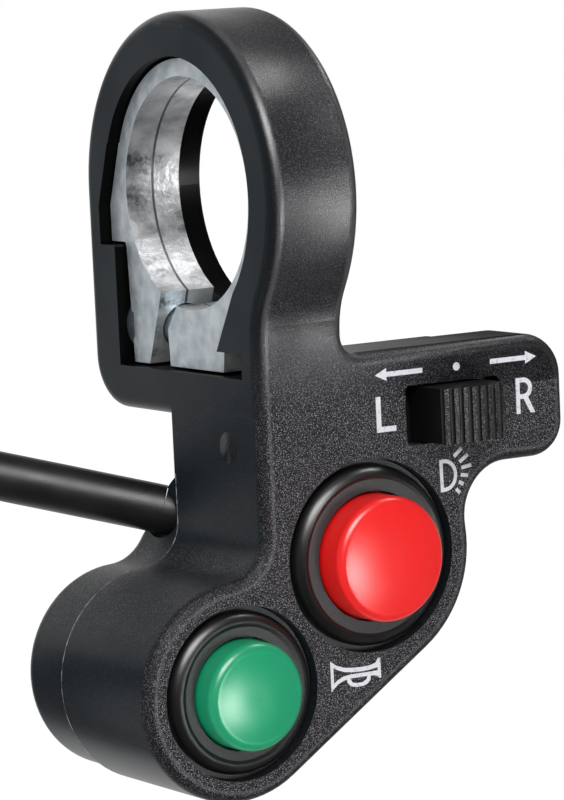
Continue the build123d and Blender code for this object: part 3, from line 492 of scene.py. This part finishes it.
def print_on_face(name, curve):
    """Make a flat curve a mesh, give it the ink's thickness and stand it on the housing's face."""
    shape = bpy.data.objects.new(name, curve)
    mesh = bpy.data.meshes.new_from_object(shape)
    bpy.data.objects.remove(shape)
    mesh.name = name
    mesh.transform(Matrix.Translation((0, face_y * mm, 0)) @ Matrix.Rotation(math.pi / 2, 4, "X"))
    ink = bmesh.new()
    ink.from_mesh(mesh)
    bmesh.ops.remove_doubles(ink, verts=ink.verts, dist=weld_distance * mm)
    for made in ink.faces:
        made.normal_update()
        if made.normal.y > 0:
            made.normal_flip()
    raised = bmesh.ops.extrude_face_region(ink, geom=ink.faces)
    lifted = [item for item in raised["geom"] if isinstance(item, bmesh.types.BMVert)]
    bmesh.ops.translate(ink, vec=(0, -ink_thickness * mm, 0), verts=lifted)
    bmesh.ops.recalc_face_normals(ink, faces=ink.faces)
    ink.to_mesh(mesh)
    ink.free()
    mesh.materials.append(print_ink.material)
    piece = bpy.data.objects.new(name, mesh)
    bpy.context.scene.collection.objects.link(piece)
    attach(piece, "switch_housing")


def arc(centre, radius, first, last, count, lift=1.0):
    """Points along an arc, angles in degrees, the height scaled by lift."""
    x, z = centre
    angles = [math.radians(first + (last - first) * step / count) for step in range(count + 1)]
    return [(x + radius * math.cos(angle), z + lift * radius * math.sin(angle)) for angle in angles]


print_ink = Finish("print_ink")
ink_cloud = print_ink.noise(0.35 * mm, detail=4)
print_ink.shine(
    Base_Color=print_ink.steps(ink_cloud, (0.28, (0.50, 0.51, 0.55)), (0.45, (0.80, 0.81, 0.86))),
    Roughness=print_ink.steps(ink_cloud, (0.3, 0.7), (0.7, 0.55)),
    Normal=print_ink.relief(ink_cloud, depth=0.02 * mm),
)

left_arrow = [(8.73, -17.66), (10.05, -17.05), (10.03, -17.42), (14.17, -17.42), (14.17, -17.9)]
left_arrow += [(10.03, -17.9), (10.05, -18.27)]
right_arrow = [(27.5, -17.57), (26.18, -16.95), (26.2, -17.35), (22.03, -17.35), (22.03, -17.83)]
right_arrow += [(26.2, -17.83), (26.18, -18.19)]
centre_dot = arc((18.1, -17.68), 0.4, first=0, last=345, count=23)
print_shapes("turn_arrows", [left_arrow, right_arrow, centre_dot])

letter_l = [(8.71, -19.7), (8.71, -23.1), (10.92, -23.1), (10.92, -22.58), (9.25, -22.58), (9.25, -19.7)]
bow_centre = (25.85, -20.53)
letter_r = [(24.95, -22.98), (24.95, -19.5), (25.85, -19.5)]
letter_r += arc(bow_centre, 1.03, first=80, last=-60, count=10)
letter_r += [(27.15, -22.98), (26.62, -22.98), (25.83, -21.56), (25.41, -21.56), (25.41, -22.98)]
letter_r_eye = [(25.41, -19.96), (25.85, -19.96)]
letter_r_eye += arc(bow_centre, 0.57, first=80, last=-80, count=8)
letter_r_eye += [(25.85, -21.1), (25.41, -21.1)]
print_shapes("turn_letters", [letter_l, letter_r, letter_r_eye])

lamp_centre = (16.25, -27.98)
lamp_body = [(15.72, -29.57), (15.67, -26.42), (16.25, -26.42)]
lamp_body += arc(lamp_centre, 1.43, first=80, last=-80, count=12, lift=1.09)
lamp_body += [(16.25, -29.54)]
lamp_glass = [(16.07, -29.17), (16.03, -26.8), (16.25, -26.8)]
lamp_glass += arc(lamp_centre, 1.07, first=80, last=-80, count=12, lift=1.1)
lamp_glass += [(16.25, -29.16)]
print_shapes("lamp_mark", [lamp_body, lamp_glass])
lamp_ray_width = 0.37
lamp_rays = [
    [(17.39, -26.27), (18.3, -25.56)],
    [(18.0, -26.87), (19.0, -26.23)],
    [(18.2, -27.44), (19.35, -27.28)],
    [(18.1, -28.12), (18.93, -28.26)],
    [(17.85, -28.77), (18.38, -29.05)],
    [(17.5, -29.4), (17.93, -29.85)],
]
print_strokes("lamp_rays", lamp_rays, lamp_ray_width)

horn_outline = [(2.27, -44.12), (2.9, -44.58), (3.8, -44.93), (4.7, -45.05), (5.84, -45.11), (6.75, -45.07)]
horn_outline += [(7.36, -44.92), (7.68, -44.5), (7.93, -44.5), (7.95, -46.42), (7.72, -46.42)]
horn_outline += [(7.5, -46.18), (7.1, -46.08), (6.77, -46.08), (6.72, -46.45), (6.35, -46.8)]
horn_outline += [(5.9, -46.93), (5.15, -46.94), (4.5, -46.8), (4.13, -46.42), (4.07, -46.09)]
horn_outline += [(3.7, -46.15), (3.05, -46.42), (2.5, -46.85), (2.28, -47.08)]
horn_bell_eye = [(2.6, -44.8), (3.0, -45.03), (3.8, -45.33), (4.7, -45.47), (5.84, -45.53)]
horn_bell_eye += [(6.75, -45.49), (7.6, -45.37), (7.6, -45.66), (6.75, -45.68), (5.4, -45.67)]
horn_bell_eye += [(4.5, -45.66), (3.65, -45.76), (3.0, -46.03), (2.6, -46.33)]
horn_loop_eye = [(4.43, -46.05), (5.3, -46.05), (6.4, -46.05), (6.32, -46.32), (5.85, -46.57)]
horn_loop_eye += [(5.2, -46.58), (4.7, -46.46)]
print_shapes("horn_mark", [horn_outline, horn_bell_eye, horn_loop_eye])

# Cover screws and springs: bright steel. The self-tapping screws hold the rear cover, and the
# buttons' springs, the latch pin, the detent and the slide switch's frame work inside.
bright_steel = Finish("bright_steel")
steel_cloud = bright_steel.noise(0.8 * mm, detail=4)
bright_steel.shine(
    Base_Color=bright_steel.steps(steel_cloud, (0.3, (0.52, 0.53, 0.55)), (0.7, (0.68, 0.68, 0.69))),
    Metallic=1.0,
    Roughness=bright_steel.steps(steel_cloud, (0.3, 0.36), (0.7, 0.22)),
)
steel_nodes = ["cover_screws", "lamp_spring", "horn_spring", "lamp_latch_pin"]
steel_nodes += ["turn_detent_ball", "turn_detent_spring", "turn_switch_frame"]
dress(bright_steel, *steel_nodes)

# Button bezels: black collars round the buttons, each a glossy convex cone with a thin rim and a
# dished ring, which is dull and slate grey.
bezel_gloss = Finish("bezel_gloss")
bezel_cloud = bezel_gloss.noise(2.2 * mm, detail=3)
bezel_grain = bezel_gloss.noise(0.12 * mm, detail=2)
bezel_forward = bezel_gloss.times(bezel_gloss.parts("Normal")["Y"], -1)
dish_share = bezel_gloss.steps(bezel_forward, (0.95, 0.0), (0.985, 1.0))
cone_black = bezel_gloss.steps(bezel_cloud, (0.3, 0.004), (0.7, 0.008))
dish_slate = bezel_gloss.steps(bezel_grain, (0.3, (0.011, 0.013, 0.014)), (0.7, (0.029, 0.032, 0.033)))
bezel_gloss.shine(
    Base_Color=bezel_gloss.mix(dish_share, cone_black, dish_slate),
    Specular_IOR_Level=0.65,
    Roughness=bezel_gloss.steps(dish_share, (0.0, 0.33), (1.0, 0.6)),
    Normal=bezel_gloss.relief(bezel_grain, depth=0.005 * mm),
)
dress(bezel_gloss, "lamp_bezel", "horn_bezel")


# Button caps: moulded in glossy red and green plastic, with a crowned top and fine handling marks.
# Each slides in its bezel against its spring.
def cap_plastic(name, deep, light):
    """Glossy coloured plastic with faint clouds and hair scratches."""
    finish = Finish(name)
    cloud = finish.noise(3 * mm, detail=1)
    hair = finish.noise(0.5 * mm, detail=2, stretch=(1, 1, 7))
    finish.shine(
        Base_Color=finish.steps(cloud, (0.0, deep), (1.0, light)),
        Specular_IOR_Level=0.6,
        Roughness=finish.steps(cloud, (0.0, 0.28), (1.0, 0.32)),
        Subsurface_Weight=0.08,
        Subsurface_Scale=0.8 * mm,
        Normal=finish.relief(hair, depth=0.004 * mm),
    )
    return finish


dress(cap_plastic("lamp_cap", (0.95, 0.008, 0.008), (0.98, 0.012, 0.010)), "lamp_button")
dress(cap_plastic("horn_cap", (0.006, 0.34, 0.155), (0.010, 0.38, 0.175)), "horn_button")

# Turn slider: a matt black acetal moulding with ribs for the thumb, whose crowned tops carry a painted
# highlight of pale grain specks, and a shutter plate behind the slot. It moves a natural nylon carriage
# inside.
crown_centre = (17.55, -8.2, 0)
crown_radius = 9.5
end_limit = 0.5
slider_black = 0.002

slider_acetal = Finish("slider_acetal")
slider_grain = slider_acetal.noise(0.14 * mm, detail=2)
from_crown_centre = slider_acetal.distance(crown_centre, along=(1, 1, 0))
under_crown = slider_acetal.sums("SUBTRACT", crown_radius, from_crown_centre)
lit_rib_tops = slider_acetal.steps(under_crown, (0.02, 1.0), (0.06, 0.0))
up_or_down = slider_acetal.sums("ABSOLUTE", slider_acetal.parts("Normal")["Z"])
off_ends = slider_acetal.sums("LESS_THAN", up_or_down, end_limit)
highlight_speck_share = slider_acetal.times(lit_rib_tops, off_ends)
# Painted highlight: pale specks on the rib tops, where light catches the ribs.
rib_highlight_specks = slider_acetal.steps(slider_grain, (0.40, 0.001), (0.54, 0.012), (0.65, 0.17))
slider_acetal.shine(
    Base_Color=slider_acetal.mix(highlight_speck_share, slider_black, rib_highlight_specks),
    Roughness=slider_acetal.steps(slider_grain, (0.3, 0.42), (0.7, 0.55)),
    Specular_IOR_Level=0.35,
    Normal=slider_acetal.relief(slider_grain, depth=0.02 * mm),
)
dress(slider_acetal, "turn_slider")

carriage_nylon = Finish("carriage_nylon")
nylon_cloud = carriage_nylon.noise(1.5 * mm, detail=3)
carriage_nylon.shine(
    Base_Color=carriage_nylon.steps(nylon_cloud, (0.3, (0.66, 0.65, 0.60)), (0.7, (0.74, 0.73, 0.68))),
    Roughness=carriage_nylon.steps(nylon_cloud, (0.3, 0.42), (0.7, 0.52)),
)
dress(carriage_nylon, "turn_carriage")

# Switch bases and inner leads: each switch's terminals stand in a base of brown phenolic paper board,
# and red PVC leads join them to the cable.
board_phenolic = Finish("board_phenolic")
paper_fibre = board_phenolic.noise(0.6 * mm, detail=5, stretch=(1, 1, 3))
board_phenolic.shine(
    Base_Color=board_phenolic.steps(paper_fibre, (0.3, (0.20, 0.085, 0.03)), (0.7, (0.30, 0.14, 0.055))),
    Roughness=board_phenolic.steps(paper_fibre, (0.3, 0.5), (0.7, 0.62)),
)
dress(board_phenolic, "turn_switch_base", "lamp_switch_base", "horn_switch_base")

lead_jacket = Finish("lead_jacket")
jacket_cloud = lead_jacket.noise(2 * mm, detail=3)
lead_jacket.shine(
    Base_Color=lead_jacket.steps(jacket_cloud, (0.3, (0.42, 0.045, 0.03)), (0.7, (0.50, 0.06, 0.04))),
    Roughness=lead_jacket.steps(jacket_cloud, (0.3, 0.36), (0.7, 0.46)),
)
dress(lead_jacket, "inner_leads")

# Studio: a white floor that keeps the object's shadow but isn't mirrored, in a white surround, and
# three softboxes that only light. Gloss mirrors two sheen lamps and a cloth dome, which is white
# behind the object and dim beside the camera and has one bright panel.
floor_drop = 6 * mm
floor_radius = 40.0
floor_mesh = bpy.data.meshes.new("floor")
disc = bmesh.new()
bmesh.ops.create_circle(disc, cap_ends=True, segments=64, radius=floor_radius)
bmesh.ops.translate(disc, vec=(0, 0, cad_box[0].z - floor_drop), verts=disc.verts)
disc.to_mesh(floor_mesh)
disc.free()
floor = bpy.data.objects.new("floor", floor_mesh)
floor.visible_glossy = False
bpy.context.scene.collection.objects.link(floor)


def white_when_seen(tree, lit, output, share, strength):
    """Show plain white to the camera, in gloss and through glass, over a share of what is lit."""
    rays = tree.nodes.new("ShaderNodeLightPath")
    seen = rays.outputs["Is Camera Ray"]
    for other in ("Is Glossy Ray", "Is Transmission Ray"):
        either = tree.nodes.new("ShaderNodeMath")
        either.operation = "MAXIMUM"
        tree.links.new(seen, either.inputs[0])
        tree.links.new(rays.outputs[other], either.inputs[1])
        seen = either.outputs["Value"]
    part = tree.nodes.new("ShaderNodeMath")
    part.operation = "MULTIPLY"
    part.inputs[1].default_value = share
    tree.links.new(seen, part.inputs[0])
    white = tree.nodes.new("ShaderNodeEmission")
    white.inputs["Strength"].default_value = strength
    blend = tree.nodes.new("ShaderNodeMixShader")
    tree.links.new(part.outputs["Value"], blend.inputs["Fac"])
    tree.links.new(lit, blend.inputs[1])
    tree.links.new(white.outputs["Emission"], blend.inputs[2])
    tree.links.new(blend.outputs["Shader"], output)


floor_paint = bpy.data.materials.new("floor_paint")
floor_paint.use_nodes = True
floor_tree = floor_paint.node_tree
floor_shader = floor_tree.nodes["Principled BSDF"]
floor_shader.inputs["Base Color"].default_value = (0.9, 0.9, 0.9, 1)
floor_shader.inputs["Roughness"].default_value = 0.9
floor_output = floor_tree.nodes["Material Output"].inputs["Surface"]
white_when_seen(floor_tree, floor_shader.outputs["BSDF"], floor_output, share=0.9, strength=1.06)
floor_mesh.materials.append(floor_paint)

surround_strength = 0.45
surround = bpy.data.worlds.new("surround")
bpy.context.scene.world = surround
surround.use_nodes = True
sky_tree = surround.node_tree
sky = sky_tree.nodes["Background"]
sky.inputs["Color"].default_value = (1, 1, 1, 1)
sky.inputs["Strength"].default_value = surround_strength
sky_output = sky_tree.nodes["World Output"].inputs["Surface"]
white_when_seen(sky_tree, sky.outputs["Background"], sky_output, share=1.0, strength=1.0)

dome_radius = 3.0
dome_mesh = bpy.data.meshes.new("gloss_dome")
dome_shell = bmesh.new()
bmesh.ops.create_icosphere(dome_shell, subdivisions=4, radius=dome_radius)
bmesh.ops.reverse_faces(dome_shell, faces=dome_shell.faces)
dome_shell.to_mesh(dome_mesh)
dome_shell.free()
dome = bpy.data.objects.new("gloss_dome", dome_mesh)
dome.visible_camera = False
dome.visible_diffuse = False
dome.visible_shadow = False
dome.visible_transmission = False
bpy.context.scene.collection.objects.link(dome)

# How bright the cloth is all round, by turns about the upright axis. It darkens towards its top.
cloth_levels = [
    (0.0, 0.25),
    (0.10, 0.05),
    (0.20, 0.05),
    (0.27, 0.12),
    (0.33, 0.09),
    (0.38, 0.20),
    (0.42, 0.12),
    (0.54, 0.25),
    (0.59, 1.0),
    (0.74, 1.0),
    (0.80, 0.62),
    (0.95, 0.50),
]
panel_heading = (0.24, -0.94, -0.23)
panel_strength = 34.0
dome_cloth = Finish("dome_cloth")
compass = dome_cloth.nodes.new("ShaderNodeTexGradient")
compass.gradient_type = "RADIAL"
dome_cloth.feed(dome_cloth.coordinates["Object"], compass.inputs["Vector"])
round_about = dome_cloth.steps(compass.outputs["Fac"], *cloth_levels)
dome_height = dome_cloth.sums("DIVIDE", dome_cloth.parts("Object")["Z"], dome_radius)
dark_top = dome_cloth.steps(dome_height, (0.36, 0.0), (0.68, 0.78))
cloth_level = dome_cloth.mix(dark_top, round_about, 0.0)
panel_spot = Vector(panel_heading).normalized() * dome_radius / mm
from_panel = dome_cloth.times(dome_cloth.distance(panel_spot), mm)
panel_share = dome_cloth.steps(from_panel, (0.25, 1.0), (0.5, 0.0))
dome_cloth.shine(
    Base_Color=(0, 0, 0, 1),
    Roughness=1.0,
    Specular_IOR_Level=0.0,
    Emission_Color=dome_cloth.mix(panel_share, cloth_level, 1.0),
    Emission_Strength=dome_cloth.sums("MULTIPLY_ADD", panel_share, panel_strength, 1.0),
)
dome_mesh.materials.append(dome_cloth.material)

lamp_reach = 1.2


def softbox(name, heading, width, height, brightness, gloss=True, diffuse=True):
    """A soft rectangular lamp in this direction from the object, facing it."""
    lamp = bpy.data.lights.new(name, "AREA")
    lamp.shape = "RECTANGLE"
    lamp.size = width
    lamp.size_y = height
    lamp.energy = brightness * math.pi * width * height
    holder = bpy.data.objects.new(name, lamp)
    direction = Vector(heading).normalized()
    holder.location = aim + direction * lamp_reach
    holder.rotation_mode = "QUATERNION"
    holder.rotation_quaternion = direction.to_track_quat("Z", "Y")
    holder.visible_camera = False
    holder.visible_glossy = gloss
    holder.visible_diffuse = diffuse
    bpy.context.scene.collection.objects.link(holder)


softbox("key", (-0.29, -0.66, 0.70), width=0.45, height=0.45, brightness=6.5, gloss=False)
softbox("key_sheen", (-0.34, -0.68, 0.62), width=0.8, height=0.6, brightness=14.0, diffuse=False)
softbox("upper_right", (0.53, 0.0, 0.85), width=0.5, height=0.5, brightness=3.0, gloss=False)
softbox("fill", (-0.65, -0.75, 0.12), width=0.5, height=0.5, brightness=4.3, gloss=False)
softbox("high_right", (0.545, -0.15, 0.82), width=0.2, height=0.16, brightness=30.0, diffuse=False)
